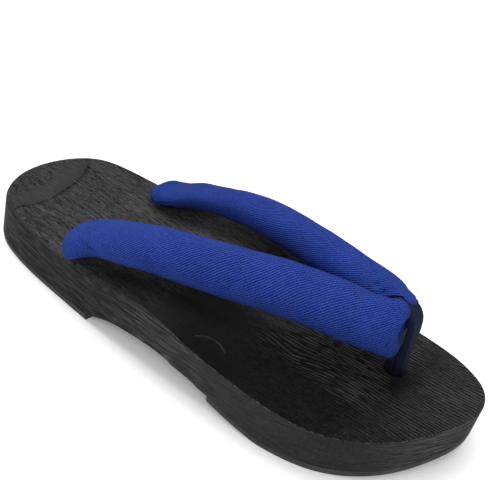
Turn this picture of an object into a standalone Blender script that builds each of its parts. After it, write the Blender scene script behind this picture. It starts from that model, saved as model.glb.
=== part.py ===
# Right-foot geta sandal: a one-piece wooden base, two rubber pads, padded straps and a toe loop.
# +X is the toe, +Y the inner (medial) side, +Z up. The floor is z = 0 and sizes are in millimetres.
import bmesh
import bpy
import numpy as np
from mathutils import Matrix

mm = 0.001
fitGap = 0.3          # left between pieces that touch
padThick = 3.0        # rubber under heel and forefoot
heelPadFront = -36.0  # the heel pad is cut off square here, the forefoot pad at ballPadBack
ballPadBack = 40.5
baseWidth = 100.0     # the outline's y column is in hundredths of this
flatRim = 5.0         # width of the first flat ring inside the top's rounded edge
drillTop = 60.0       # the drills for the holes reach up to here
stationCount = 66     # rows along the base, counted down each side of the outline
spineReach = (-100.0, 94.0)   # the surfaces fan out from these ends of a line down the middle

# Outline of the top, seen from above and counter-clockwise from the heel.
outlineRows = (  # x, y in hundredths of the width
    (-131.4, -1.0), (-128.0, -17.5), (-117.5, -31.8), (-98.0, -39.8), (-55.0, -45.5),
    (0.0, -49.3), (48.0, -50.1), (78.0, -47.8), (98.0, -40.2), (114.0, -26.5), (127.0, -5.0),
    (132.5, 15.0), (127.5, 31.0), (114.0, 42.2), (85.0, 48.6), (40.0, 49.8), (0.0, 50.1),
    (-50.0, 47.8), (-98.0, 43.3), (-119.5, 35.0), (-129.2, 17.5),
)
# Height of the foot surface and the rounding of its edge: a low heel seat, a ridge under the
# waist, a slope down to the ball and a lift at the toe.
topRows = (  # x, height, edge radius
    (-131.4, 27.4, 4.5), (-118.0, 26.0, 4.5), (-100.0, 24.6, 4.5), (-75.0, 23.4, 4.0),
    (-45.0, 24.2, 3.5), (-20.0, 28.2, 3.0), (-2.0, 30.7, 2.2), (12.0, 29.4, 1.4),
    (30.0, 25.9, 0.9), (60.0, 23.4, 0.8), (90.0, 21.5, 0.8), (115.0, 22.6, 0.8), (132.5, 25.4, 0.8),
)
# Underside of the forefoot pad: rolled up towards the arch, flat under the ball, toe spring.
ballRows = (  # x, height
    (40.5, 4.6), (50.0, 2.7), (60.0, 1.1), (69.0, 0.0), (88.0, 0.0), (100.0, 0.6),
    (116.0, 2.4), (125.0, 4.6), (132.5, 7.6),
)
# Underside of the wood from the heel to the forefoot pad, with the saw's small steps.
archRows = (  # x, height
    (-37.0, 3.3), (-34.0, 4.2), (-30.0, 6.0), (-23.0, 8.7), (-16.0, 10.5), (-8.0, 11.6),
    (0.0, 12.4), (8.0, 12.7), (13.0, 12.5), (17.5, 11.9), (18.5, 11.4), (24.0, 10.7),
    (32.5, 9.6), (34.0, 8.9), (40.5, 7.9),
)
flareRows = (  # x, how far the foot of the side wall stands outside the top edge
    (-132.5, 1.1), (-36.0, 1.1), (41.0, -1.0), (132.5, -1.0),
)

# Padded straps from the heel end to the front: centre line, half width, half height and the
# turn of the oval about that line, positive where its inner (+Y) side is up.
outerStrapRows = (  # x, y, z, half width, half height, turn
    (-56.0, -35.8, 31.5, 12.2, 7.2, 0), (-48.0, -34.4, 33.7, 13.1, 8.2, 0),
    (-38.0, -31.8, 37.3, 13.3, 8.7, 0), (-25.0, -29.2, 41.2, 13.1, 9.2, 2),
    (-8.0, -25.8, 44.2, 12.3, 10.4, 4), (10.0, -21.1, 45.9, 11.7, 11.6, 5),
    (28.0, -15.2, 47.0, 11.9, 12.1, 5), (45.0, -8.6, 47.6, 12.2, 12.4, 5),
    (62.0, -2.4, 46.9, 12.2, 12.5, 4), (79.0, 3.2, 45.2, 11.0, 12.2, 2), (89.0, 5.6, 44.8, 8.2, 11.4, 0),
)
innerStrapRows = (
    (-66.0, 33.8, 29.4, 12.0, 5.5, 0), (-54.0, 34.9, 31.8, 12.9, 5.9, -5),
    (-40.0, 35.6, 37.0, 13.2, 6.6, -12), (-25.0, 35.8, 41.4, 13.6, 7.4, -16),
    (-8.0, 35.7, 44.5, 12.7, 8.5, -18), (10.0, 34.3, 46.1, 11.9, 9.3, -18),
    (28.0, 31.7, 46.9, 11.3, 9.6, -18), (45.0, 28.9, 47.2, 10.9, 9.7, -18),
    (62.0, 26.8, 46.8, 10.8, 9.6, -18), (78.0, 25.0, 46.4, 9.6, 9.6, -14), (86.0, 23.6, 46.6, 7.4, 9.0, -8),
)
strapSides = 26       # points round a strap
strapRings = 34       # rings along it, without its rounded ends
rearCap = 6.0         # how far the rounded rear end bulges past its last row
frontCap = 4.2
capSteps = 4

# Holes bored through the base, each with a wider recess underneath for the knot.
outerHole = (-54.0, -36.5)
innerHole = (-63.0, 33.0)
toeHole = (92.3, 14.8)
rearHoleRadius = 5.0
toeHoleRadius = 4.9
recessRadius = 8.5
recessTop = 12.0
stemRadius = 4.5      # the gathered end of a strap in its hole
knotRadius = 7.4
knotHalfHeight = 3.4
knotHeight = 8.0      # centre of a knot above the floor

# Toe loop: a band round the neck that joins the straps, and a post down to its hole.
neckCentre = (toeHole[0] - 6.1, 45.0)   # x, z
neckRadius = 6.3
neckHalfLength = 7.0
bandThick = 3.4
bandRows = (  # angle round the neck from the toe side over the top, half width of the band
    (0, 4.6), (45, 4.1), (90, 3.0), (135, 2.0), (180, 2.0), (225, 2.4), (270, 3.6), (315, 4.4), (360, 4.6),
)
bandSteps = 36
postRadius = 4.4
postFoot = 6.0

woodColour = (0.032, 0.031, 0.031, 1)
rubberColour = (0.028, 0.028, 0.029, 1)
strapColour = (0.022, 0.048, 0.270, 1)
loopColour = (0.014, 0.018, 0.055, 1)


def pchip(rows, column, at):
    """Smooth curve through a table's column that never overshoots its rows."""
    table = np.array(rows, float)
    x, y = table[:, 0], table[:, column]
    step = np.diff(x)
    slope = np.diff(y) / step
    bend = slope[:-1] * slope[1:]
    mean = np.where(bend > 0, 2 * bend / np.where(bend > 0, slope[:-1] + slope[1:], 1), 0)
    tangent = np.concatenate([slope[:1], mean, slope[-1:]])
    at = np.clip(at, x[0], x[-1])
    i = np.clip(np.searchsorted(x, at) - 1, 0, len(step) - 1)
    t = (at - x[i]) / step[i]
    return ((2 * t**3 - 3 * t**2 + 1) * y[i] + (t**3 - 2 * t**2 + t) * step[i] * tangent[i]
            + (3 * t**2 - 2 * t**3) * y[i + 1] + (t**3 - t**2) * step[i] * tangent[i + 1])


def closedCurve(points, count):
    """Periodic cubic spline through the points, by chord length."""
    p = np.array(points, float)
    chord = np.linalg.norm(np.roll(p, -1, 0) - p, axis=1)
    n = len(p)
    system = np.zeros((n, n))
    right = np.zeros_like(p)
    for i in range(n):
        before, after = chord[i - 1], chord[i]
        system[i, i - 1] += before
        system[i, i] += 2 * (before + after)
        system[i, (i + 1) % n] += after
        right[i] = 6 * ((p[(i + 1) % n] - p[i]) / after - (p[i] - p[i - 1]) / before)
    bend = np.linalg.solve(system, right)
    start = np.concatenate([[0], np.cumsum(chord)])
    at = np.linspace(0, start[-1], count, endpoint=False)
    i = np.clip(np.searchsorted(start, at, side="right") - 1, 0, n - 1)
    j = (i + 1) % n
    h = chord[i][:, None]
    b = (at - start[i])[:, None] / h
    a = 1 - b
    return a * p[i] + b * p[j] + ((a**3 - a) * bend[i] + (b**3 - b) * bend[j]) * h**2 / 6


def outlineSides(count, xFrom=None, xTo=None):
    """Points down the outer and the inner side of the outline, with the outward direction of each.
    The two lists start and end together, at the ends of the sandal or on a square cut at xFrom or xTo."""
    loop = closedCurve(np.array(outlineRows) * (1, baseWidth / 100), 1200)
    ahead = np.roll(loop, -1, 0) - np.roll(loop, 1, 0)
    outward = np.stack([ahead[:, 1], -ahead[:, 0]], 1) / np.linalg.norm(ahead, axis=1)[:, None]
    heel, toe = loop[:, 0].argmin(), loop[:, 0].argmax()
    loop, outward, toe = np.roll(loop, -heel, 0), np.roll(outward, -heel, 0), (toe - heel) % len(loop)
    sides = []
    for order in (np.arange(toe + 1), np.r_[0, np.arange(len(loop) - 1, toe - 1, -1)]):
        way, out = loop[order], outward[order]
        length = np.r_[0, np.cumsum(np.linalg.norm(np.diff(way, axis=0), axis=1))]
        first = 0 if xFrom is None else np.interp(xFrom, way[:, 0], length)
        last = length[-1] if xTo is None else np.interp(xTo, way[:, 0], length)
        at = np.linspace(first, last, count)
        sides.append((np.stack([np.interp(at, length, way[:, k]) for k in (0, 1)], 1),
                      np.stack([np.interp(at, length, out[:, k]) for k in (0, 1)], 1)))
    return sides


def ballHeight(x):
    return pchip(ballRows, 1, x)


def woodUnder(x):
    return np.where(x > ballPadBack, ballHeight(x) + padThick + fitGap, pchip(archRows, 1, x))


def flare(x):
    return np.interp(x, *np.array(flareRows).T)


def ringPoints(sides, offset, height):
    """One ring of the base: the outline moved out by offset(x), at height(x), as outer and inner rows."""
    rows = []
    for way, out in sides:
        moved = way + out * offset(way[:, 0])[:, None]
        rows.append(np.column_stack([moved, height(way[:, 0])]))
    return rows


def addObject(name, points, faces, colour, roughness, collection):
    mesh = bpy.data.meshes.new(name)
    mesh.from_pydata((np.array(points) * mm).tolist(), [], faces)
    build = bmesh.new()
    build.from_mesh(mesh)
    bmesh.ops.remove_doubles(build, verts=build.verts, dist=0.00002)
    bmesh.ops.dissolve_degenerate(build, edges=build.edges, dist=0.00001)
    bmesh.ops.recalc_face_normals(build, faces=build.faces)
    build.to_mesh(mesh)
    build.free()
    return finishObject(name, mesh, colour, roughness, collection)


def finishObject(name, mesh, colour, roughness, collection):
    thing = bpy.data.objects.new(name, mesh)
    collection.objects.link(thing)
    mesh.shade_smooth()
    mesh.set_sharp_from_angle(angle=np.radians(35))
    if colour:
        material = bpy.data.materials.new(name)
        material.use_nodes = True
        shader = material.node_tree.nodes["Principled BSDF"]
        shader.inputs["Base Color"].default_value = colour
        shader.inputs["Roughness"].default_value = roughness
        shader.inputs["Metallic"].default_value = 0
        mesh.materials.append(material)
    else:
        thing.hide_render = True
        thing.display_type = "WIRE"
    return thing


def bandFaces(rows, closed):
    """Quads between neighbouring rows of a grid of point numbers, round the rows where they are closed."""
    faces = []
    for near, far in zip(rows[:-1], rows[1:]):
        count = len(near)
        for k in range(count if closed else count - 1):
            n = (k + 1) % count
            faces.append((near[k], near[n], far[n], far[k]))
    return faces


def closeRing(points, faces, ring, height, steps, reach=(-500.0, 500.0)):
    """Closes a ring with rungs from its outer to its inner side, bent over a spine between two x."""
    last = len(ring) // 2
    outer, inner = ring[:last + 1], [ring[-j] for j in range(last)] + [ring[last]]
    middles = (np.array([points[a] for a in outer]) + np.array([points[b] for b in inner])) / 2
    spineX = np.clip(middles[:, 0], *reach)
    spineY = np.interp(spineX, middles[:, 0], middles[:, 1])
    share = np.linspace(0, 1, steps + 1)[1:, None]
    rows = []
    for a, b, x, y in zip(outer, inner, spineX, spineY):
        middle = np.array([x, y, 0.0])
        way = np.concatenate([points[a] * (1 - share) + middle * share,
                              (middle * (1 - share) + points[b] * share)[:-1]])
        way[:, 2] = height(way[:, 0])
        rows.append([a, *range(len(points), len(points) + len(way)), b])
        points.extend(way)
    faces.extend(bandFaces(rows, False))


def makeBase(collection):
    """Rings round the outline make the underside edge, the wall and the rounded top edge, and two
    closed rings the foot surface and the underside."""
    sides = outlineSides(stationCount)

    def top(x):
        return pchip(topRows, 1, x)

    def radius(x):
        return pchip(topRows, 2, x)

    rings = [ringPoints(sides, flare, woodUnder)]
    for angle in np.radians((0, 30, 60, 90)):
        rings.append(ringPoints(sides, lambda x: -radius(x) * (1 - np.cos(angle)),
                                lambda x: top(x) - radius(x) * (1 - np.sin(angle))))
    rings.append(ringPoints(sides, lambda x: -radius(x) - flatRim, top))
    points, grids = [], []
    for outer, inner in rings:
        loop = np.concatenate([outer, inner[-2:0:-1]])
        grids.append(list(range(len(points), len(points) + len(loop))))
        points.extend(loop)
    faces = bandFaces(grids, True)
    closeRing(points, faces, grids[0], woodUnder, 1, spineReach)
    closeRing(points, faces, grids[-1], top, 4, spineReach)
    return addObject("WoodBase", points, faces, woodColour, 0.55, collection)


def makePad(name, xFrom, xTo, under, count, collection):
    """A rubber sheet under the base, its square end at xFrom or xTo."""
    sides = outlineSides(count, xFrom, xTo)
    cut = xFrom if xFrom is not None else xTo

    def inset(x):
        return flare(x) - 0.3

    points, rows = [], []
    for lift in (0.0, padThick):
        outer, inner = ringPoints(sides, inset, lambda x: under(x) + lift)
        for row in (outer, inner):
            end = 0 if xFrom is not None else -1
            row[end, 0] = cut
            row[end, 2] = under(np.array([cut]))[0] + lift
            rows.append(list(range(len(points), len(points) + count)))
            points.extend(row)
    bottomOuter, bottomInner, topOuter, topInner = rows
    faces = bandFaces([bottomOuter, topOuter, topInner, bottomInner, bottomOuter], False)
    end = 0 if xFrom is not None else -1
    faces.append((bottomOuter[end], topOuter[end], topInner[end], bottomInner[end]))
    return addObject(name, points, faces, rubberColour, 0.7, collection)


def strapTube(name, rows, colour, collection):
    """An oval carried along the strap's centre line, square to it, with rounded ends."""
    table = np.array(rows, float)
    reach = np.r_[0, np.cumsum(np.linalg.norm(np.diff(table[:, :3], axis=0), axis=1))]
    keyed = np.column_stack([reach, table])
    at = np.linspace(0, reach[-1], strapRings)
    x, y, z, wide, high, turn = [pchip(keyed, k, at) for k in range(1, 7)]
    centre = np.stack([x, y, z], 1)
    ahead = np.gradient(centre, axis=0)
    ahead /= np.linalg.norm(ahead, axis=1)[:, None]
    bulge = np.radians(np.linspace(0, 82, capSteps + 1)[1:])
    rings = np.r_[[0] * capSteps, np.arange(strapRings), [strapRings - 1] * capSteps]
    slide = np.r_[-rearCap * np.sin(bulge[::-1]), np.zeros(strapRings), frontCap * np.sin(bulge)]
    shrink = np.r_[np.cos(bulge[::-1]), np.ones(strapRings), np.cos(bulge)]
    ahead = ahead[rings]
    centre = centre[rings] + ahead * slide[:, None]
    wide, high = wide[rings] * shrink, high[rings] * shrink
    lean = np.radians(turn[rings])[:, None]
    across = np.cross((0, 0, 1), ahead)
    across /= np.linalg.norm(across, axis=1)[:, None]
    up = np.cross(ahead, across)
    side = across * np.cos(lean) + up * np.sin(lean)
    rise = up * np.cos(lean) - across * np.sin(lean)
    angle = np.linspace(0, 2 * np.pi, strapSides, endpoint=False)
    grid = (centre[:, None] + wide[:, None, None] * np.cos(angle)[None, :, None] * side[:, None]
            + high[:, None, None] * np.sin(angle)[None, :, None] * rise[:, None])
    numbers = np.arange(grid.shape[0] * strapSides).reshape(-1, strapSides).tolist()
    faces = bandFaces(numbers, True) + [tuple(numbers[0]), tuple(numbers[-1])]
    return addObject(name, grid.reshape(-1, 3), faces, colour, 0.9, collection)


def rod(name, place, low, high, radius, collection, sides=32, along="z"):
    """A cylinder between two heights, or between two y when it lies across."""
    mesh = bpy.data.meshes.new(name)
    build = bmesh.new()
    bmesh.ops.create_cone(build, cap_ends=True, segments=sides, radius1=radius * mm,
                          radius2=radius * mm, depth=(high - low) * mm)
    turn = Matrix.Identity(4) if along == "z" else Matrix.Rotation(np.radians(90), 4, "X")
    middle = (low + high) / 2
    move = (place[0], place[1], middle) if along == "z" else (place[0], middle, place[1])
    build.transform(Matrix.Translation([v * mm for v in move]) @ turn)
    build.to_mesh(mesh)
    build.free()
    return finishObject(name, mesh, None, 0.9, collection)


def knot(name, place, collection):
    mesh = bpy.data.meshes.new(name)
    build = bmesh.new()
    bmesh.ops.create_uvsphere(build, u_segments=20, v_segments=10, radius=mm)
    size = Matrix.Diagonal((knotRadius, knotRadius, knotHalfHeight, 1))
    build.transform(Matrix.Translation([place[0] * mm, place[1] * mm, knotHeight * mm]) @ size)
    build.to_mesh(mesh)
    build.free()
    return finishObject(name, mesh, None, 0.9, collection)


def toeBand(name, grow, colour, collection):
    """The band of the toe loop: a flat oval carried round the neck, wide in front and narrow behind."""
    around = np.linspace(0, 2 * np.pi, bandSteps, endpoint=False)
    half = pchip(bandRows, 1, np.degrees(around)) + grow
    middle = neckRadius + fitGap + bandThick / 2
    outline = np.linspace(0, 2 * np.pi, 14, endpoint=False)
    thick = (bandThick / 2 + grow) * np.sign(np.sin(outline)) * np.abs(np.sin(outline)) ** 0.7
    wide = np.sign(np.cos(outline)) * np.abs(np.cos(outline)) ** 0.7
    reach = middle + thick[None, :]
    grid = np.stack([neckCentre[0] + reach * np.cos(around)[:, None],
                     toeHole[1] + half[:, None] * wide[None, :],
                     neckCentre[1] + reach * np.sin(around)[:, None]], 2)
    numbers = np.arange(bandSteps * len(outline)).reshape(bandSteps, -1).tolist()
    faces = bandFaces(numbers + [numbers[0]], True)
    return addObject(name, grid.reshape(-1, 3), faces, colour, 0.9, collection)


def combine(target, other, operation):
    step = target.modifiers.new(other.name, "BOOLEAN")
    step.object = other
    step.operation = operation
    step.solver = "EXACT"


def main():
    for thing in list(bpy.data.objects):
        bpy.data.objects.remove(thing, do_unlink=True)
    sandal = bpy.data.collections.new("GetaSandal")
    helpers = bpy.data.collections.new("Cutters")
    for collection in (sandal, helpers):
        bpy.context.scene.collection.children.link(collection)

    base = makeBase(sandal)
    heelPad = makePad("HeelPad", None, heelPadFront, lambda x: 0 * x, 26, sandal)
    ballPad = makePad("ForefootPad", ballPadBack, None, ballHeight, 34, sandal)
    straps = strapTube("StrapUpper", outerStrapRows, strapColour, sandal)
    combine(straps, strapTube("InnerStrap", innerStrapRows, None, helpers), "UNION")
    neck = rod("Neck", neckCentre, toeHole[1] - neckHalfLength, toeHole[1] + neckHalfLength, neckRadius,
               helpers, along="y")
    combine(straps, neck, "UNION")

    for label, place, pad, rows in (("Outer", outerHole, heelPad, outerStrapRows),
                                    ("Inner", innerHole, heelPad, innerStrapRows)):
        combine(base, rod(label + "Hole", place, 0, drillTop, rearHoleRadius, helpers), "DIFFERENCE")
        recess = rod(label + "Recess", place, -5, recessTop, recessRadius, helpers)
        combine(base, recess, "DIFFERENCE")
        combine(pad, recess, "DIFFERENCE")
        stem = rod(label + "Stem", place, knotHeight, rows[0][2], stemRadius, helpers, 20)
        combine(straps, stem, "UNION")
        combine(straps, knot(label + "Knot", place, helpers), "UNION")

    combine(base, rod("ToeHole", toeHole, 0, drillTop, toeHoleRadius, helpers), "DIFFERENCE")
    toeRecess = rod("ToeRecess", toeHole, -5, recessTop, recessRadius, helpers)
    combine(base, toeRecess, "DIFFERENCE")
    combine(ballPad, toeRecess, "DIFFERENCE")

    loop = toeBand("ToeLoop", 0.0, loopColour, sandal)
    post = rod("Post", toeHole, postFoot, neckCentre[1] - neckRadius, postRadius, helpers, 24)
    combine(loop, post, "UNION")
    combine(loop, knot("ToeKnot", toeHole, helpers), "UNION")
    combine(straps, toeBand("BandSlot", fitGap, None, helpers), "DIFFERENCE")
    combine(straps, rod("PostSlot", toeHole, -5, neckCentre[1] - neckRadius + fitGap, postRadius + fitGap,
                        helpers, 24), "DIFFERENCE")


main()
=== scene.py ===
import math

import bmesh
import bpy
import numpy as np
from mathutils import Matrix, Vector


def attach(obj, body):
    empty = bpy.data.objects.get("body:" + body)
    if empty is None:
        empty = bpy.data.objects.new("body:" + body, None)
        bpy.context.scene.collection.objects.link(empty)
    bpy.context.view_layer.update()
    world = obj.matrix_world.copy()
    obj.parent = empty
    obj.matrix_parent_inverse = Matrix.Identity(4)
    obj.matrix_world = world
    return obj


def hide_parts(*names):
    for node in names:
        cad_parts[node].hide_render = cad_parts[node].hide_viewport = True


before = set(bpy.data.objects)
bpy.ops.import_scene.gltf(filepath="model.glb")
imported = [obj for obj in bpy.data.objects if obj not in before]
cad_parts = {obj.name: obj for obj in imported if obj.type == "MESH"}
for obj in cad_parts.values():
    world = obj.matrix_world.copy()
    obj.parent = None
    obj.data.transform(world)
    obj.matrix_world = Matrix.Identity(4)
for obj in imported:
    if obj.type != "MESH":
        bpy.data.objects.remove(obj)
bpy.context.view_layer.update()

# Right-foot geta sandal. +X is the toe, +Y the inner side, +Z up, and sizes are millimetres until
# newPiece puts them into a mesh in metres.
mm = 0.001
clothUnit = 100.0       # millimetres of cloth in one unit of a cloth map


# The camera stands where the picture was taken from, found by fitting the sandal's outline to it.
camera = {
    "place": (183.9, -260.5, 244.05),
    "right": (0.76270927, 0.62556119, 0.16415774),
    "up": (-0.44433116, 0.32240891, 0.8358363),
    "back": (0.46994083, -0.71044049, 0.5238606),
    "lens": 59.913,
    "sensor": 36.0,
    "nearest": 0.01,    # metres
}


def makeCamera():
    data = bpy.data.cameras.new("studioCamera")
    data.lens = camera["lens"]
    data.sensor_width = camera["sensor"]
    data.clip_start = camera["nearest"]
    made = bpy.data.objects.new("studioCamera", data)
    bpy.context.scene.collection.objects.link(made)
    turn = Matrix((camera["right"], camera["up"], camera["back"])).transposed()
    made.matrix_world = Matrix.Translation(Vector(camera["place"]) * mm) @ turn.to_4x4()
    bpy.context.scene.camera = made


class Signal:
    # A socket of a material. Arithmetic on it adds Math nodes, and node() adds any other node.
    def __init__(self, tree, socket=None):
        self.tree = tree
        self.socket = socket

    def node(self, kind, settings=None, inputs=None, output=0):
        made = self.tree.nodes.new(kind)
        for key, value in (settings or {}).items():
            setattr(made, key, value)
        for key, value in (inputs or {}).items():
            if isinstance(value, Signal):
                self.tree.links.new(value.socket, made.inputs[key])
            else:
                made.inputs[key].default_value = value
        return Signal(self.tree, made.outputs[output])

    def math(self, operation, *values):
        return self.node("ShaderNodeMath", {"operation": operation}, dict(enumerate(values)))

    def __add__(self, other):
        return self.math("ADD", self, other)

    __radd__ = __add__

    def __sub__(self, other):
        return self.math("SUBTRACT", self, other)

    def __rsub__(self, other):
        return self.math("SUBTRACT", other, self)

    def __mul__(self, other):
        return self.math("MULTIPLY", self, other)

    __rmul__ = __mul__

    def __truediv__(self, other):
        return self.math("DIVIDE", self, other)

    def absolute(self):
        return self.math("ABSOLUTE", self)

    def sine(self):
        return self.math("SINE", self)

    def clamped(self):
        return self.node("ShaderNodeClamp", {}, {"Value": self})

    def rise(self, low, high):
        # 0 below low, 1 above high and smooth between; high may be the lesser
        return self.node("ShaderNodeMapRange", {"interpolation_type": "SMOOTHSTEP"},
                         {"Value": self, "From Min": low, "From Max": high})

    def split(self):
        parts = self.node("ShaderNodeSeparateXYZ", {}, {0: self}).socket.node.outputs
        return [Signal(self.tree, part) for part in parts]

    def scaled(self, x, y, z):
        # a vector times a size for each axis
        return self.node("ShaderNodeVectorMath", {"operation": "MULTIPLY"}, {0: self, 1: (x, y, z)})

    def noise(self, detail=2.0, rough=0.5, warp=0.0):
        # soft noise from 0 to 1 at this vector
        return self.node("ShaderNodeTexNoise", {"noise_dimensions": "3D"},
                         {"Vector": self, "Scale": 1.0, "Detail": detail, "Roughness": rough,
                          "Distortion": warp})

    def tint(self, low, high):
        # a colour between two colours
        return self.node("ShaderNodeMix", {"data_type": "RGBA"}, {0: self, 6: low, 7: high}, 2)


def newMaterial(name):
    # returns the material, its Principled shader and a Signal to start from
    made = bpy.data.materials.new(name)
    made.use_nodes = True
    shader = made.node_tree.nodes["Principled BSDF"]
    return made, shader, Signal(made.node_tree)


def millimetres(start):
    # the point's place on the sandal, in millimetres
    return start.node("ShaderNodeTexCoord", output="Object").scaled(1 / mm, 1 / mm, 1 / mm)


def plug(shader, name, value):
    value.tree.links.new(value.socket, shader.inputs[name])


def fix(shader, values):
    # sets what is the same all over a surface
    for name, value in values.items():
        shader.inputs[name].default_value = value


def bump(start, height, distance, strength):
    # distance in millimetres
    return start.node("ShaderNodeBump", {}, {"Height": height, "Distance": distance * mm,
                                             "Strength": strength})


def pchip(rows, column, at):
    # smooth curve through a table's column that never overshoots its rows
    table = np.array(rows, float)
    x, y = table[:, 0], table[:, column]
    step = np.diff(x)
    slope = np.diff(y) / step
    bend = slope[:-1] * slope[1:]
    mean = np.where(bend > 0, 2 * bend / np.where(bend > 0, slope[:-1] + slope[1:], 1), 0)
    tangent = np.concatenate([slope[:1], mean, slope[-1:]])
    at = np.clip(at, x[0], x[-1])
    i = np.clip(np.searchsorted(x, at) - 1, 0, len(step) - 1)
    t = (at - x[i]) / step[i]
    return ((2 * t**3 - 3 * t**2 + 1) * y[i] + (t**3 - 2 * t**2 + t) * step[i] * tangent[i]
            + (3 * t**2 - 2 * t**3) * y[i + 1] + (t**3 - t**2) * step[i] * tangent[i + 1])


def closedCurve(points, count):
    # cubic spline round the points and back to the first, by chord length
    p = np.array(points, float)
    n = len(p)
    chord = np.linalg.norm(np.roll(p, -1, 0) - p, axis=1)
    before = np.roll(chord, 1)
    system = np.diag(2 * (before + chord))
    order = np.arange(n)
    system[order, order - 1] += before
    system[order, (order + 1) % n] += chord
    ahead = (np.roll(p, -1, 0) - p) / chord[:, None]
    bend = np.linalg.solve(system, 6 * (ahead - np.roll(ahead, 1, 0)))
    start = np.concatenate([[0], np.cumsum(chord)])
    at = np.linspace(0, start[-1], count, endpoint=False)
    i = np.clip(np.searchsorted(start, at, side="right") - 1, 0, n - 1)
    j = (i + 1) % n
    h = chord[i][:, None]
    b = (at - start[i])[:, None] / h
    a = 1 - b
    return a * p[i] + b * p[j] + ((a**3 - a) * bend[i] + (b**3 - b) * bend[j]) * h**2 / 6


def gridFaces(rows, columns):
    # quads between neighbours of a grid of points, also from the last column to the first
    here = np.arange(rows * columns).reshape(rows, columns)
    after = np.roll(here, -1, 1)
    return np.stack([here[:-1], here[1:], after[1:], after[:-1]], 2).reshape(-1, 4)


def gridMap(along, around, drawn=None):
    # a cloth map for a wrapped grid, from millimetres along it for each row and round it for each
    # column and once more for the first; drawn slides a row round the piece
    columns = len(around) - 1
    v = np.arange(columns)
    corner = np.stack([np.stack([v, v, v + 1, v + 1], 1)] * (len(along) - 1))
    row = np.arange(len(along) - 1)[:, None, None] + np.array([0, 1, 1, 0])
    row = np.broadcast_to(row, corner.shape)
    slide = 0 if drawn is None else drawn[row]
    return np.stack([along[row], around[corner] + slide], 3).reshape(-1, 2) / clothUnit


def newPiece(name, points, faces, material, uv=None, marks=None, merge=0.002, sharp=40):
    # a mesh object from millimetre points; uv holds a pair for each corner of each face, marks a
    # value for each point, merge is in millimetres and sharp in degrees
    mesh = bpy.data.meshes.new(name)
    mesh.from_pydata((np.asarray(points) * mm).tolist(), [], [list(map(int, f)) for f in faces])
    if uv is not None:
        layer = mesh.uv_layers.new(name="cloth")
        layer.uv.foreach_set("vector", np.asarray(uv, np.float32).ravel())
    for label, values in (marks or {}).items():
        layer = mesh.attributes.new(label, "FLOAT", "POINT")
        layer.data.foreach_set("value", np.asarray(values, np.float32))
    build = bmesh.new()
    build.from_mesh(mesh)
    bmesh.ops.remove_doubles(build, verts=build.verts, dist=merge * mm)
    bmesh.ops.dissolve_degenerate(build, edges=build.edges, dist=merge * mm * 0.5)
    bmesh.ops.recalc_face_normals(build, faces=build.faces)
    build.to_mesh(mesh)
    build.free()
    mesh.shade_smooth()
    mesh.set_sharp_from_angle(angle=math.radians(sharp))
    mesh.materials.append(material)
    piece = bpy.data.objects.new(name, mesh)
    bpy.context.scene.collection.objects.link(piece)
    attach(piece, "root")
    return piece


def report(stage):
    print("geta:", stage)


# The wood. These tables are the ones that the solids were built from.
wood = {
    "outline": (  # x, y of the top, counter-clockwise from the heel
        (-131.4, -1.0), (-128.0, -17.5), (-117.5, -31.8), (-98.0, -39.8), (-55.0, -45.5),
        (0.0, -49.3), (48.0, -50.1), (78.0, -47.8), (98.0, -40.2), (114.0, -26.5), (127.0, -5.0),
        (132.5, 15.0), (127.5, 31.0), (114.0, 42.2), (85.0, 48.6), (40.0, 49.8), (0.0, 50.1),
        (-50.0, 47.8), (-98.0, 43.3), (-119.5, 35.0), (-129.2, 17.5),
    ),
    "top": (  # x, height, edge radius
        (-131.4, 27.4, 4.5), (-118.0, 26.0, 4.5), (-100.0, 24.6, 4.5), (-75.0, 23.4, 4.0),
        (-45.0, 24.2, 3.5), (-20.0, 28.2, 3.0), (-2.0, 30.7, 2.2), (12.0, 29.4, 1.4),
        (30.0, 25.9, 0.9), (60.0, 23.4, 0.8), (90.0, 21.5, 0.8), (115.0, 22.6, 0.8),
        (132.5, 25.4, 0.8),
    ),
    "ball": (  # x, underside of the forefoot pad
        (40.5, 4.6), (50.0, 2.7), (60.0, 1.1), (69.0, 0.0), (88.0, 0.0), (100.0, 0.6),
        (116.0, 2.4), (125.0, 4.6), (132.5, 7.6),
    ),
    "arch": (  # x, underside of the wood
        (-37.0, 3.3), (-34.0, 4.2), (-30.0, 6.0), (-23.0, 8.7), (-16.0, 10.5), (-8.0, 11.6),
        (0.0, 12.4), (8.0, 12.7), (13.0, 12.5), (17.5, 11.9), (18.5, 11.4), (24.0, 10.7),
        (32.5, 9.6), (34.0, 8.9), (40.5, 7.9),
    ),
    "flare": (  # x, spread of the wall's foot
        (-132.5, 1.1), (-36.0, 1.1), (41.0, -1.0), (132.5, -1.0),
    ),
    "padThick": 3.0,
    "fitGap": 0.3,      # between a pad and the wood above it
    "heelPadFront": -36.0,
    "ballPadBack": 40.5,
    "holes": ((-54.0, -36.5, 5.0), (-63.0, 33.0, 5.0), (92.3, 14.8, 4.9)),  # x, y, radius
    "recessRadius": 8.5,
    "recessTop": 12.0,
    "drillTop": 60.0,   # clear of the foot surface
    "sharp": 38,        # edges past this angle in degrees stay crisp
    "outlinePoints": 4000,
    "stations": 330,
    "wallRows": 12,
    "edgeRows": 7,
    "topRows": 150,
    "underRows": 30,
}

# The grain runs along the sandal and is thrown aside round a small swirl in front of the ridge.
rings = {
    "step": 1.9,        # from ring to ring
    "relief": 0.07,     # height of a ring's ridge
    # slow waves: how far aside, lengths along x and y, and start
    "bends": ((2.6, 37.0, np.inf, 0.8), (1.0, 15.3, 29.0, 0.0), (0.35, 6.1, 4.3, 0.0)),
    "climb": 1.2,       # how far the surface's height moves the rings
    "swirl": (57.5, -18.5), "reach": (10.0, 7.0), "lift": 3.6,
}

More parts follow.
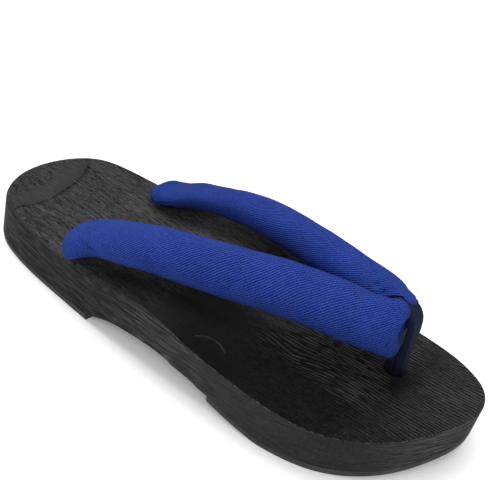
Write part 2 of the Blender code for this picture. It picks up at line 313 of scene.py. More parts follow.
# Marks in the foot surface: an arc pressed in by the heel, and a crescent dent near the outer
# edge. Runs are the directions from the centre, in degrees, over which a mark comes in and goes
# out, and a bank is its height, its distance outward from the arc and its width.
dents = {
    "heel": {"centre": (-157.3, -17.2), "radius": 56.4, "depth": 0.42, "width": 0.8, "away": 0.0,
             "runs": (-30, -20, 38, 50), "bank": (0.25, -4.5, 3.5)},
    "heelSway": (10, 27.5),     # the arc swings in and out by a millimetre
    "crescent": {"centre": (32.9, -45.8), "radius": 8.8, "depth": 0.40, "width": 0.6, "away": -0.9,
                 "runs": (36, 56, 150, 172), "bank": (0.2, 0.5, 0.6)},
    "none": 60.0,       # distance that stands for a point no mark reaches
}


def outlineSide(x, which):
    # y and outward direction of the outer (0) or inner (1) side at each x
    loop = closedCurve(wood["outline"], wood["outlinePoints"])
    ahead = np.roll(loop, -1, 0) - np.roll(loop, 1, 0)
    out = np.stack([ahead[:, 1], -ahead[:, 0]], 1) / np.linalg.norm(ahead, axis=1)[:, None]
    heel, toe = loop[:, 0].argmin(), loop[:, 0].argmax()
    toe = (toe - heel) % len(loop)
    loop, out = np.roll(loop, -heel, 0), np.roll(out, -heel, 0)
    way = np.arange(toe + 1) if which == 0 else np.r_[0, np.arange(len(loop) - 1, toe - 1, -1)]
    at = loop[way, 0]
    facing = np.stack([np.interp(x, at, out[way, k]) for k in (0, 1)], 1)
    return np.interp(x, at, loop[way, 1]), facing


def reachX():
    # x of the heel's and the toe's tip
    loop = closedCurve(wood["outline"], wood["outlinePoints"])
    return loop[:, 0].min(), loop[:, 0].max()


def topHeight(x):
    return pchip(wood["top"], 1, x)


def edgeRadius(x):
    return pchip(wood["top"], 2, x)


def ballHeight(x):
    return pchip(wood["ball"], 1, x)


def woodUnder(x):
    # the arch, and from the forefoot pad's back on the pad's upper face and the gap over it
    overPad = ballHeight(x) + wood["padThick"] + wood["fitGap"]
    return np.where(x > wood["ballPadBack"], overPad, pchip(wood["arch"], 1, x))


def flare(x):
    # how far the wall's foot stands out past the outline
    return np.interp(x, *np.array(wood["flare"]).T)


def ringDistance(x, y):
    # distance across the grain: y, plus slow waves, the surface's height and a bell at the swirl
    dx = (x - rings["swirl"][0]) / rings["reach"][0]
    dy = (y - rings["swirl"][1]) / rings["reach"][1]
    bent = sum(aside * np.sin(x / alongX + y / alongY + start)
               for aside, alongX, alongY, start in rings["bends"])
    return y + bent + rings["climb"] * topHeight(x) + rings["lift"] * np.exp(-dx**2 - dy**2)


def smoothStep(value, low, high):
    # 0 below low, 1 above high and smooth between
    t = np.clip((value - low) / (high - low), 0, 1)
    return t * t * (3 - 2 * t)


def bell(value, middle, width):
    # 1 at the middle, falling off over the width
    return np.exp(-((value - middle) / width) ** 2)


def dentArc(x, y, name):
    # how far a point lies outside a mark's arc, and 1 where the arc runs
    dent = dents[name]
    dx, dy = x - dent["centre"][0], y - dent["centre"][1]
    away, aim = np.hypot(dx, dy) - dent["radius"], np.degrees(np.arctan2(dy, dx))
    if name == "heel":
        turn, half = dents["heelSway"]
        away = away - np.cos((aim + turn) * np.pi / half)
    low, full, ebb, gone = dent["runs"]
    return away, smoothStep(aim, low, full) * (1 - smoothStep(aim, ebb, gone))


def dentMark(x, y, name):
    # distance from a mark's arc, for the wood's colour
    away, inside = dentArc(x, y, name)
    return np.where(inside > 0.3, away, dents["none"])


def topRelief(x, y):
    # height added to the foot surface: a ridge for each ring, steeper on one side, then a groove
    # and a bank beside it for each mark
    turn = ringDistance(x, y) / rings["step"] * (2 * np.pi)
    relief = rings["relief"] * ((0.5 + 0.5 * np.sin(turn + 0.7 * np.sin(turn))) ** 1.6 - 0.5)
    for name in ("heel", "crescent"):
        away, inside = dentArc(x, y, name)
        dent = dents[name]
        height, beside, width = dent["bank"]
        relief -= inside * dent["depth"] * bell(away, dent["away"], dent["width"])
        relief += inside * height * bell(away, beside, width)
    return relief


def sideRows(x, which):
    # rows of one side from its foot, up the wall and over the rounded edge, as (points, edge
    # mark); a row is the outline moved out by its offset, at its own height, and the mark comes
    # in high on the wall and is 1 on the edge
    y, out = outlineSide(x, which)

    def row(offset, height):
        moved = np.column_stack([x, y]) + out * offset(x)[:, None]
        return np.column_stack([moved, height(moved[:, 0])])

    def wallHeight(v, share):
        return woodUnder(v) + share * (topHeight(v) - edgeRadius(v) - woodUnder(v))

    rows = []
    for share in np.linspace(0, 1, wood["wallRows"], endpoint=False):
        rows.append((row(lambda v: flare(v) * (1 - share), lambda v: wallHeight(v, share)),
                     share ** 6 * 0.6))
    for angle in np.radians(np.linspace(0, 90, wood["edgeRows"])):
        rows.append((row(lambda v: -edgeRadius(v) * (1 - np.cos(angle)),
                         lambda v: topHeight(v) - edgeRadius(v) * (1 - np.sin(angle))), 1.0))
    return rows


def across(outer, inner, height, count, relief=None):
    # points in straight lines from the outer to the inner row, at a height that depends on x
    share = np.linspace(0, 1, count)[1:-1, None, None]
    flat = outer[None, :, :2] * (1 - share) + inner[None, :, :2] * share
    z = height(flat[..., 0])
    if relief:
        fade = smoothStep(np.minimum(share, 1 - share)[..., 0], 0.0, 0.03)
        z = z + relief(flat[..., 0], flat[..., 1]) * fade
    return np.concatenate([flat, z[..., None]], 2)


def stationX(low, high, count):
    # stations from low to high that crowd towards both ends, as the outline turns there
    return low + (high - low) * (1 - np.cos(np.pi * np.linspace(0, 1, count))) / 2


def makeWood(material):
    # a closed section (wall, foot surface, wall, underside) carried along the sandal
    x = stationX(*reachX(), wood["stations"])
    sides = [sideRows(x, which) for which in (0, 1)]
    outer, inner = [[row for row, mark in side] for side in sides]
    edge = [mark for row, mark in sides[0]]
    top = across(outer[-1], inner[-1], topHeight, wood["topRows"], topRelief)
    under = across(inner[0], outer[0], woodUnder, wood["underRows"])
    section = np.concatenate([outer, top, inner[::-1], under])
    inward = np.minimum(np.arange(len(top)), np.arange(len(top))[::-1])
    edge = np.concatenate([edge, np.exp(-inward / 1.5), edge[::-1], np.zeros(len(under))])
    points = section.transpose(1, 0, 2)
    rows, columns = points.shape[:2]
    points = points.reshape(-1, 3)
    x, y = points.T[:2]
    marks = {"edge": np.tile(edge, rows), "ring": ringDistance(x, y),
             "heelArc": dentMark(x, y, "heel"), "crescent": dentMark(x, y, "crescent")}
    piece = newPiece("carvedWood", points, gridFaces(rows, columns), material,
                     marks=marks, merge=0.01, sharp=wood["sharp"])
    cutters = []
    for cx, cy, radius in wood["holes"]:
        cutters.append(cutter(cx, cy, radius, wood["drillTop"]))
        cutters.append(cutter(cx, cy, wood["recessRadius"], wood["recessTop"]))
    cutAway(piece, cutters)
    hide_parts("WoodBase")


def cutter(x, y, radius, top, below=5.0):
    # an upright drill that starts below the floor
    mesh = bpy.data.meshes.new("drill")
    build = bmesh.new()
    bmesh.ops.create_cone(build, cap_ends=True, segments=48, radius1=radius * mm,
                          radius2=radius * mm, depth=(top + below) * mm)
    build.transform(Matrix.Translation((x * mm, y * mm, (top - below) / 2 * mm)))
    build.to_mesh(mesh)
    build.free()
    made = bpy.data.objects.new("drill", mesh)
    bpy.context.scene.collection.objects.link(made)
    return made


def cutAway(piece, cutters):
    # the drills are cut out of the piece, and the result becomes its mesh
    for drill in cutters:
        step = piece.modifiers.new("drill", "BOOLEAN")
        step.object = drill
        step.operation = "DIFFERENCE"
        step.solver = "MANIFOLD"
    bpy.context.view_layer.update()
    evaluated = piece.evaluated_get(bpy.context.evaluated_depsgraph_get())
    mesh = bpy.data.meshes.new_from_object(evaluated)
    piece.modifiers.clear()
    old = piece.data
    piece.data = mesh
    bpy.data.meshes.remove(old)
    mesh.name = piece.name
    mesh.set_sharp_from_angle(angle=math.radians(wood["sharp"]))
    for drill in cutters:
        bpy.data.objects.remove(drill, do_unlink=True)


# The wood's finish. Tones are shares of the way from black to pale, and widths are millimetres.
finish = {
    "black": (0.0006, 0.0006, 0.0006, 1), "pale": (0.15, 0.1495, 0.149, 1),
    "edgeHighlightGrey": (0.26, 0.255, 0.25, 1),     # colour of the painted highlight on the turn of the edge
    "heelTone": 0.107, "ballTone": 0.042, "toeReflectionTone": 0.100,     # foot surface
    "heelWall": 0.105, "archWall": 0.17, "foreWall": 0.138, "toeWall": 0.20,
    "lineWidth": 0.72, "hairWidth": 0.7, "combStep": 1.75,
    "edgeHighlightStrength": 0.30, "flecks": 0.16, "scratch": 0.13,     # strength of the bright marks
    "rough": 0.62, "shine": 0.03,
}


def woodMaterial():
    # matted grey behind the ridge, nearly black just in front of it, combed lines on the forefoot
    # and a burnished band inside the heel's arc; the grey and the black are each partly the wood's
    # own tone and partly painted light, a painted highlight behind the ridge and a painted dark
    # reflection of the strap in front of it; x runs from -132 at the heel to 132 at the toe, and a
    # rise along x or y brings a part in or takes it out
    material, shader, start = newMaterial("brushed charred wood")
    place = millimetres(start)
    x, y, z = place.split()

    def mark(name):
        return start.node("ShaderNodeAttribute", {"attribute_name": name}, output="Fac")

    def ridged(v, narrow):
        # thin crests where soft noise passes its middle
        return (1 - (v - 0.5).absolute() * narrow).clamped()

    def drawnOut(stretch, lane):
        # a vector whose noise is long along the sandal and fine across the lanes
        return start.node("ShaderNodeCombineXYZ", {}, {0: x * stretch, 1: lane, 2: y * stretch})

    upward = start.node("ShaderNodeNewGeometry", output="Normal").split()[2].rise(0.35, 0.8)
    ring, edge = mark("ring"), mark("edge")
    lane = (ring * upward + (z * 0.75 + 40) * (1 - upward)) / finish["lineWidth"]
    cloud = place.scaled(0.03, 0.05, 0.05).noise(2.0, 0.5)
    speck = place.scaled(0.9, 1.7, 1.7).noise(3.0, 0.7)
    line = ridged(drawnOut(0.06, lane).noise(0.0, 0.5, 0.15), 5.0)
    thread = ridged(drawnOut(0.12, lane * 1.6).noise(0.0, 0.5, 0.3), 5.0)
    cracks = ridged(place.scaled(0.20, 0.85, 0.85).noise(1.0, 0.5, 0.9), 6.0)
    tuft = drawnOut(0.17, ring / finish["hairWidth"]).noise(0.0, 0.5, 0.1)
    hair = ridged(tuft, 8.0)

    # combed lines follow the rings in tufts, and run through at the toe
    tip = x.rise(84.0, 108.0)
    comb = ((ring / finish["combStep"] + cloud * 2) * (2 * math.pi)).sine().rise(-0.2, 1.0)
    comb = comb * (tuft.rise(0.34, 0.60) * (1 - tip * 0.75) + tip * 0.45)
    comb = comb * (0.3 + (y + cloud * 14).rise(-24.0, -8.0) * 0.8)
    brushed = (0.3 + (y + cloud * 14).rise(-20.0, 0.0) * (1 - x.rise(88.0, 102.0)) * 1.5
               + x.rise(88.0, 110.0) * 0.4)
    sparse = (comb * 1.6 + hair * 0.6) * brushed + speck * 1.2 - 0.4
    matted = line * 0.5 + thread * 0.5 + cracks * 0.8 - 0.2

    # each part is 1 inside and 0 outside; the cloud makes its border wander
    # the y term pulls the heel's border back along the outer edge: painted shadow of the outer
    # strap
    heelPart = (x + cloud * 8 + y.rise(-26.0, -40.0) * 26).rise(18.0, -28.0)
    # painted reflection of the pale surroundings makes the slope to the toe paler
    toeReflection = (x + 0.15 * y + cloud * 12).rise(82.0, 140.0)
    calm = (x + cloud * 16).rise(10.0, 16.0) * upward
    calm = calm * (1 - (x + 0.5 * y + cloud * 26).rise(28.0, 50.0))
    lined = (x - 0.4 * y + cloud * 10).rise(38.0, 62.0)
    arc = mark("heelArc")
    burnished = arc.rise(-13.0, -9.5) * (1 - arc.rise(-1.4, -0.4)) * upward
    pressed = arc.rise(-1.2, 0.0) * (1 - arc.rise(0.4, 1.8)) * upward
    grain = matted * (1 - lined) + sparse * lined
    grain = grain * (1 - burnished * 0.75) * (1 - calm * 0.8) + burnished * 0.45 + calm * 0.3

    # the foot surface's tone, paler on the seat, with painted light across the waist and down the
    # slope that lifts the straps' shadow there
    # the heel's paler grey is partly a painted highlight, and the ball's near-black partly a
    # painted dark reflection of the strap
    tone = finish["ballTone"] + (finish["heelTone"] - finish["ballTone"]) * heelPart
    tone = tone + (finish["toeReflectionTone"] - finish["ballTone"]) * toeReflection
    seat = x.rise(-95.0, -55.0) * heelPart
    waistLight = x.rise(-48.0, -30.0) * x.rise(14.0, -8.0) * y.rise(-38.0, -26.0)
    slope = y.rise(-34.0, -20.0) * x.rise(-12.0, 2.0) * x.rise(62.0, 36.0)
    tone = tone * (1 + seat * 0.2 + waistLight * 0.7 + slope * 0.9)
    onTop = tone * (grain * 2.2 + speck * 1.5 - 0.6) * (0.8 + cloud * 0.4) * (1 - pressed * 0.45)

    # painted shadow of the loop's cords beside the toe hole, a dark patch round the crescent with
    # its bright scratch, and a dark line inside the heel's edge
    postShadow = (1 - ((x - 97.0) * 0.13).absolute()) * (y + cloud * 4).rise(-4.0, 6.0)
    onTop = onTop * (1 - postShadow.clamped() * y.rise(20.0, 12.0) * 0.75)
    away = mark("crescent")
    scratch = away.rise(-0.5, -0.05) * away.rise(0.5, 0.05) * speck.rise(0.3, 0.6)
    patch = y.rise(-34.0, -45.0) * x.rise(10.0, 24.0) * x.rise(58.0, 44.0)
    onTop = onTop * (1 - patch * 0.5) + scratch * finish["scratch"]
    seam = edge.rise(0.25, 0.6) * (1 - edge.rise(0.85, 0.98)) * upward
    onTop = onTop * (1 - seam * speck.rise(0.35, 0.55) * x.rise(-20.0, -50.0) * 0.6)

    # the wall is streaked, and smoother with bright flecks along the forefoot
    wallTone = finish["heelWall"]
    for behind, ahead, low, high in (("heelWall", "archWall", -30.0, 8.0),
                                     ("archWall", "foreWall", 48.0, 92.0),
                                     ("foreWall", "toeWall", 100.0, 126.0)):
        wallTone = wallTone + (finish[ahead] - finish[behind]) * x.rise(low, high)
    smooth = x.rise(15.0, 60.0) * x.rise(124.0, 108.0)
    streaks = 0.15 + line * line * 1.7 + thread * 0.5 + speck * 0.4
    onWall = wallTone * (streaks * (1 - smooth * 0.75) + (speck * 1.6 + 0.1) * smooth * 0.75)
    fleck = place.scaled(1.3, 1.3, 1.3).noise(1.0, 0.5).rise(0.66, 0.76) * smooth
    onWall = onWall + fleck * finish["flecks"]

    # painted highlight on the turn of the edge, broken into chips, from the ridge forward
    highlightBreak = place.scaled(0.34, 0.34, 1.4).noise(3.0, 0.75).rise(0.48, 0.62)
    edgeHighlight = edge.rise(0.93, 0.995) * highlightBreak * x.rise(8.0, 30.0) * upward * (1 - upward) * 4
    grey = onTop * upward + onWall * (1 - upward)
    colour = grey.clamped().tint(finish["black"], finish["pale"])
    plug(shader, "Base Color", (edgeHighlight * finish["edgeHighlightStrength"]).clamped().tint(colour, finish["edgeHighlightGrey"]))
    plug(shader, "Roughness", finish["rough"] - 0.14 * grain * upward - 0.06 * heelPart)
    fix(shader, {"Specular IOR Level": finish["shine"]})
    relief = line * (0.55 - 0.4 * lined) + hair * lined * 0.4 + thread * 0.25 + cracks * 0.35
    relief = (relief + speck * 0.15) * (1 - burnished * 0.7) * (1 - calm * 0.6)
    plug(shader, "Normal", bump(start, relief, 0.5, 0.9))
    return material


# Rubber sheets under the heel and the forefoot.
rubber = {
    "wallRows": 5, "underRows": 24, "heelStations": 90, "ballStations": 110,
    "bevel": 0.35,      # rounding of the lower edge
    "inset": 0.3,       # from the wood's wall
    "dark": (0.008, 0.008, 0.0082, 1), "pale": (0.044, 0.044, 0.0445, 1),
}


def makePad(name, node, low, high, under, count, material):
    # a sheet whose wall follows the outline at an inset and whose lower edge is rounded; its square
    # end is closed by the section's own face, and the stations crowd towards the other
    heel = node == "HeelPad"
    turn = np.pi / 2 * np.linspace(0, 1, count)
    stations = low + (high - low) * (1 - np.cos(turn) if heel else np.sin(turn))
    keep = (None, high) if heel else (low, None)
    sides = []
    for which in (0, 1):
        y, out = outlineSide(stations, which)
        side = []
        for share in np.linspace(0, 1, rubber["wallRows"]):
            offset = flare(stations) - rubber["inset"] - rubber["bevel"] * (1 - share) ** 6
            moved = np.column_stack([stations, y]) + out * offset[:, None]
            moved[:, 0] = np.clip(moved[:, 0], *keep)
            side.append(np.column_stack([moved, under(moved[:, 0]) + share * wood["padThick"]]))
        sides.append(side)
    outer, inner = sides

    def upper(v):
        return under(v) + wood["padThick"]

    section = np.concatenate([outer, across(outer[-1], inner[-1], upper, rubber["underRows"]),
                              inner[::-1], across(inner[0], outer[0], under, rubber["underRows"])])
    points = section.transpose(1, 0, 2)
    rows, columns = points.shape[:2]
    faces = gridFaces(rows, columns).tolist()
    cut = rows - 1 if heel else 0
    faces.append([cut * columns + k for k in range(columns)])
    piece = newPiece(name, points.reshape(-1, 3), faces, material, merge=0.01)
    cutAway(piece, [cutter(cx, cy, wood["recessRadius"], wood["recessTop"])
                    for cx, cy, radius in wood["holes"] if (cx < 0) == heel])
    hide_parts(node)


def rubberMaterial():
    # fine specks over wide scuffs
    material, shader, start = newMaterial("black rubber sheet")
    place = millimetres(start)
    speck = place.scaled(0.9, 0.9, 1.6).noise(4.0, 0.65)
    scuff = place.scaled(0.05, 0.12, 0.3).noise(3.0, 0.6).rise(0.35, 0.7)
    shade = (speck * 0.5 + scuff * 0.5).clamped()
    plug(shader, "Base Color", shade.tint(rubber["dark"], rubber["pale"]))
    plug(shader, "Roughness", 0.6 + 0.25 * speck)
    fix(shader, {"Specular IOR Level": 0.35})
    plug(shader, "Normal", bump(start, speck, 0.3, 0.5))
    return material


# Toe loop: a strip of navy cloth that goes round the neck between the straps, with both ends
# rolled into cords that drop through the toe hole. Path points are x, z, then half width in y
# and half thickness. Tables of the band start with the direction round the neck in degrees.
loop = {
    "y": 14.8,
    "neck": (86.2, 45.0),
    "bandTop": ((0, 10.2), (30, 10.9), (57, 12.2), (83, 12.3), (116, 10.3), (156, 10.1),
                (360, 10.1)),       # radius of its outer face
    "bandHalf": ((0, 4.9), (45, 4.6), (90, 3.6), (135, 2.3), (180, 2.1), (225, 2.4),
                 (270, 3.4), (315, 4.6), (360, 4.9)),       # half its width
    "bandInner": (5.4, 6.6),        # the straps part for it between these radii,
    "bandOuter": 10.0,              # and from here on close again
    "bandRim": 1.2,                 # over this distance
    "clearance": 0.45,              # from the band's edge to the straps
    "halfSeam": 0.1,                # from the loop's middle to each strap inside the band
    "sink": 1.6,                    # how far the cords lean inward as they drop into the hole,
    "sinkRuns": (20, 32),           # and between which heights
    "hem": (90.0, 0.15),            # direction in which the cloth laid over the band reaches the
                                    # middle, and its slant
    # that cloth: directions over which it comes and goes, how softly it ends at the hem, radii
    # over which it starts, its height over the band, and where and how fast it falls away
    "cover": {"runs": (48, 55, 120, 140), "soft": (0.3, 0.6), "reach": (10.2, 11.2),
              "lift": 0.4, "flat": 3.0, "fall": 0.25},
    "bead": (0.28, 0.8, 0.16),      # rolled edge: height, place and width as shares of the oval
    "girth": 22.0,                  # round the band, for the cloth's map
    "path": (
        (93.6, 6.0, 1.9, 1.5), (94.2, 17.0, 2.3, 1.9), (94.3, 22.0, 2.8, 2.1),
        (93.9, 27.0, 3.0, 2.1), (94.1, 34.0, 3.5, 1.9), (94.7, 39.5, 4.3, 1.7),
        (94.7, 44.5, 4.8, 1.6), (94.3, 49.5, 5.0, 1.5), (91.9, 54.0, 4.9, 1.2),
        (87.6, 55.7, 4.2, 1.1), (82.4, 52.8, 2.9, 1.2), (78.4, 48.5, 2.2, 1.4),
        (77.8, 43.5, 2.1, 1.4), (80.3, 38.6, 2.2, 1.5), (85.0, 35.8, 2.6, 1.7),
        (88.4, 32.5, 3.0, 2.0), (89.5, 27.0, 3.0, 2.1), (90.0, 22.0, 2.8, 2.1),
        (90.4, 17.0, 2.3, 1.9), (91.0, 6.0, 1.9, 1.5),
    ),
    "rings": 260,
    "sides": 44,
}


# Padded straps: centre line, half width, half height and turn in degrees of the oval, heel end
# first.
straps = {
    "outer": (
        (-56.0, -35.8, 31.5, 12.2, 7.2, 0), (-48.0, -34.4, 33.7, 13.1, 8.2, 0),
        (-38.0, -31.8, 37.3, 13.3, 8.7, 0), (-25.0, -29.2, 41.2, 13.1, 9.2, 2),
        (-8.0, -25.8, 44.2, 12.3, 10.4, 4), (10.0, -21.1, 45.9, 11.7, 11.6, 5),
        (28.0, -15.2, 47.0, 11.9, 12.1, 5), (45.0, -8.6, 47.6, 12.2, 12.4, 5),
        (62.0, -2.4, 46.9, 12.2, 12.5, 4), (79.0, 3.2, 45.2, 11.0, 12.2, 2),
        (89.0, 5.6, 44.8, 8.2, 11.4, 0),
    ),
    "inner": (
        (-66.0, 33.8, 29.4, 12.0, 5.5, 0), (-54.0, 34.9, 31.8, 12.9, 5.9, -5),
        (-40.0, 35.6, 37.0, 13.2, 6.6, -12), (-25.0, 35.8, 41.4, 13.6, 7.4, -16),
        (-8.0, 35.7, 44.5, 12.7, 8.5, -18), (10.0, 34.3, 46.1, 11.9, 9.3, -18),
        (28.0, 31.7, 46.9, 11.3, 9.6, -18), (45.0, 28.9, 47.2, 10.9, 9.7, -18),
        (62.0, 26.8, 46.8, 10.8, 9.6, -18), (78.0, 25.0, 46.4, 9.6, 9.6, -14),
        (86.0, 23.6, 46.6, 7.4, 9.0, -8),
    ),
    "rearCap": {"outer": 4.2, "inner": 6.0},    # how far the rounded ends stand out
    "frontCap": 4.6,
    "blunt": 0.6,       # below 1 the front end is fuller than a ball
    "girth": 62.0,      # round the cloth, for its map
    "rings": 300,
    "sides": 112,
    "capRings": 16,
    "puff": 0.28,       # slow swell of the stuffing,
    "swells": (11.0, 9.0, 8.0),     # its lengths along x, y and z,
    "seed": {"outer": 1.3, "inner": 2.2},
    "gather": (0.90, 0.035),    # from this share on, the cloth is drawn round the front end
    "bank": (0.3, 2.4, 1.2),    # beside a fold: height, distance and width against the fold's own
}

# Where the stuffed cloth is pushed out or in: place, reach and push.
pushes = {
    "outer": (
        ((87.0, 8.5, 55.0), 6.0, (1.0, 1.4, 3.4)), ((93.0, 8.0, 51.0), 5.0, (0.6, 1.0, 0.6)),
        ((91.0, 3.0, 38.0), 7.0, (1.6, 0.0, 0.0)), ((94.0, 5.5, 46.0), 3.5, (-1.0, -0.6, 0.0)),
        ((93.5, 7.5, 48.5), 4.2, (-3.6, -1.0, 0.0)), ((-47.0, -34.0, 41.0), 11.0, (0.0, 0.0, 1.0)),
        ((-43.0, -45.5, 29.5), 6.0, (0.0, 1.8, 3.4)), ((-35.0, -43.5, 31.5), 6.0, (0.0, 1.0, 2.2)),
        ((-60.5, -36.5, 33.0), 8.0, (1.8, 0.0, -1.5)), ((-60.0, -44.0, 26.0), 6.0, (2.4, 0.0, 0.0)),
        ((-51.0, -44.5, 26.0), 5.0, (0.0, -2.8, -1.6)),
    ),
    "inner": (
        ((88.0, 15.0, 54.0), 8.0, (-0.5, -4.4, 2.8)), ((94.0, 23.0, 48.0), 8.0, (-4.6, 0.5, -1.0)),
        ((88.0, 30.0, 54.0), 8.0, (-1.0, -3.0, -1.8)), ((91.0, 18.5, 57.0), 6.0, (2.8, -4.5, 2.2)),
        ((90.5, 19.0, 56.0), 5.0, (3.2, -0.5, -0.2)), ((86.0, 25.0, 54.0), 5.0, (1.2, 0.4, 0.8)),
        ((-67.0, 34.0, 35.0), 9.0, (0.0, 0.0, -1.3)), ((-48.0, 37.0, 41.0), 10.0, (0.0, 0.0, 1.3)),
    ),
}

# Folds in the strap cloth, shallow at the first end and deep at the second: each end as share of
# the strap's length and angle round it in degrees (90 on top, 180 on the outer side), then depth
# and width.
folds = {
    "outer": ((0.098, 150, 0.142, 198, 3.1, 2.0), (0.885, 58, 0.93, 119, 0.9, 1.0),
              (0.93, 150, 0.972, 150, 1.2, 0.9)),
    "inner": ((0.125, 191, 0.069, 201, 1.6, 0.9), (0.036, 188, 0.066, 201, 1.8, 0.9),
              (0.870, 130, 0.858, 152, 1.3, 1.2), (0.896, 136, 0.880, 158, 1.4, 1.2)),
}


def strapGrid(name):
    # an oval carried along the strap's centre line and square to it, with rounded ends: returns the
    # grid of points, the outward directions, and the length along and round the cloth
    table = np.array(straps[name], float)
    count, caps = straps["rings"], straps["capRings"]
    reach = np.r_[0, np.cumsum(np.linalg.norm(np.diff(table[:, :3], axis=0), axis=1))]
    keyed = np.column_stack([reach, table])
    at = np.linspace(0, reach[-1], count)
    x, y, z, wide, high, turn = [pchip(keyed, k, at) for k in range(1, 7)]
    centre = np.stack([x, y, z], 1)
    ahead = np.gradient(centre, axis=0)
    ahead /= np.linalg.norm(ahead, axis=1)[:, None]
    bulge = np.radians(np.linspace(0, 90, caps + 1)[1:])
    order = np.r_[[0] * caps, np.arange(count), [count - 1] * caps]
    slide = np.r_[-straps["rearCap"][name] * np.sin(bulge[::-1]), np.zeros(count),
                  straps["frontCap"] * np.sin(bulge)]
    shrink = np.r_[np.cos(bulge[::-1]), np.ones(count), np.abs(np.cos(bulge)) ** straps["blunt"]]
    shrink[[0, -1]] = 0
    ahead = ahead[order]
    centre = centre[order] + ahead * slide[:, None]
    wide, high = wide[order] * shrink, high[order] * shrink
    lean = np.radians(turn[order])[:, None]
    side = np.cross((0, 0, 1), ahead)
    side /= np.linalg.norm(side, axis=1)[:, None]
    up = np.cross(ahead, side)
    side, up = side * np.cos(lean) + up * np.sin(lean), up * np.cos(lean) - side * np.sin(lean)
    angle = np.linspace(0, 2 * np.pi, straps["sides"], endpoint=False)
    grid = (centre[:, None] + wide[:, None, None] * np.cos(angle)[None, :, None] * side[:, None]
            + high[:, None, None] * np.sin(angle)[None, :, None] * up[:, None])
    ridge = grid[:, straps["sides"] // 4]
    along = np.r_[0, np.cumsum(np.linalg.norm(np.diff(ridge, axis=0), axis=1))]
    around = straps["girth"] * np.arange(straps["sides"] + 1) / straps["sides"]
    out = grid - centre[:, None]
    out /= np.maximum(np.linalg.norm(out, axis=2), 1e-6)[..., None]
    return grid, out, along, around, np.degrees(angle)


def waves(x, y, z, seed):
    # slow soft noise: four products of crossed sines, each finer and weaker than the last
    longX, longY, longZ = straps["swells"]
    return sum(np.sin(x / (longX / k) + seed * k) * np.sin(y / (longY / k) + 2.1 * seed + k)
               * np.cos(z / (longZ / k) + seed / k) / k for k in range(1, 5))


def besideBand(points, side):
    # cloth that would pass through the toe loop's band is pressed back to the band's edge, and
    # the inner strap's is laid over the band's top as far as the hem; both are worked out round
    # the neck, by distance and direction from it
    dx, dz = points[..., 0] - loop["neck"][0], points[..., 2] - loop["neck"][1]
    away = np.hypot(dx, dz)
    aim = np.degrees(np.arctan2(dz, dx)) % 360
    half = pchip(loop["bandHalf"], 1, aim) + loop["clearance"]
    rim = loop["bandOuter"] + loop["bandRim"]
    here = smoothStep(away, *loop["bandInner"]) * (1 - smoothStep(away, loop["bandOuter"], rim))
    y = (points[..., 1] - loop["y"]) * side
    pressed = np.where(away < rim, np.maximum(y, half * here + loop["halfSeam"]), y)
    grown = 1
    if side > 0:
        cover = loop["cover"]
        middle, slant = loop["hem"]
        hem = (middle - aim) * slant
        before, past = cover["soft"]
        low, full, ebb, gone = cover["runs"]
        laid = (smoothStep(pressed, hem - before, hem + past) * smoothStep(aim, low, full)
                * (1 - smoothStep(aim, ebb, gone)) * smoothStep(away, *cover["reach"]))
        surface = (pchip(loop["bandTop"], 1, aim) + cover["lift"]
                   - cover["fall"] * np.maximum(pressed - cover["flat"], 0) ** 2)
        grown = 1 + laid * np.maximum(surface - away, 0) / np.maximum(away, 1)
    return np.stack([loop["neck"][0] + dx * grown, loop["y"] + side * pressed,
                     loop["neck"][1] + dz * grown], -1)


def makeStrap(name, material):
    # the oval tube, moved out by the stuffing's swell and in along each fold, then pushed at a few
    # spots by a bell of distance and fitted beside the band
    grid, out, along, around, degrees = strapGrid(name)
    start, pull = straps["gather"]
    drawn = pull * np.maximum(along - start * along[-1], 0) ** 2
    flat = np.stack(np.broadcast_arrays(along[:, None], degrees[None] / 360 * around[-1]), 2)
    swell = straps["puff"] * waves(*np.moveaxis(grid, 2, 0), straps["seed"][name])
    high, beside, broad = straps["bank"]
    for s0, a0, s1, a1, depth, width in folds[name]:
        # distance of each point from the fold's line, on the cloth laid flat
        a = np.array([s0 * along[-1], a0 / 360 * around[-1]])
        b = np.array([s1 * along[-1], a1 / 360 * around[-1]])
        t = np.clip(((flat - a) @ (b - a)) / ((b - a) @ (b - a)), 0, 1)
        away = np.linalg.norm(flat - a - t[..., None] * (b - a), axis=2)
        depth = depth * (0.15 + 0.85 * t)
        swell = swell - depth * bell(away, 0, width)
        swell = swell + high * depth * bell(away, beside * width, broad * width)
    points = grid + out * swell[..., None]
    for spot, reach, push in pushes[name]:
        near = np.exp(-((points - spot) ** 2).sum(2) / reach**2)
        points = points + near[..., None] * push
    points = besideBand(points, -1 if name == "outer" else 1)
    faces = gridFaces(*points.shape[:2])
    piece = newPiece(name + "Strap", points.reshape(-1, 3), faces, material,
                     uv=gridMap(along, around, drawn), merge=0.0005)
    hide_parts("StrapUpper")


# The two cloths: darkest and palest colour, then the ribs' pitch and the bump's depth in
# millimetres. A seam is its place round the cloth and how far beside it the groove lies, whose
# darkness is painted shade, and a cloth darkens to black between the two heights given last,
# painted shade where the loop's cords go down into the hole.
cloths = {
    "strap": {"name": "blue twill",
              "low": (0.0012, 0.0055, 0.072, 1), "high": (0.024, 0.054, 0.272, 1),
              "pitch": 0.96, "sheen": 0.02, "depth": 0.5, "seams": (), "holeShade": None},
    "loop": {"name": "navy cotton",
             "low": (0.002, 0.0024, 0.007, 1), "high": (0.013, 0.0145, 0.040, 1),
             "pitch": 0.7, "sheen": 0.04, "depth": 0.3, "seams": ((2.2, 0.9), (8.8, -0.9)),
             "holeShade": (22.5, 27.0)},
    "ribLean": (0.55, 0.835),       # the ribs' direction along and round the cloth
    "stitchLength": 1.7,            # of the ribs' pitch, and in millimetres along a seam
    "sheenTint": (0.55, 0.65, 1.0, 1),
}


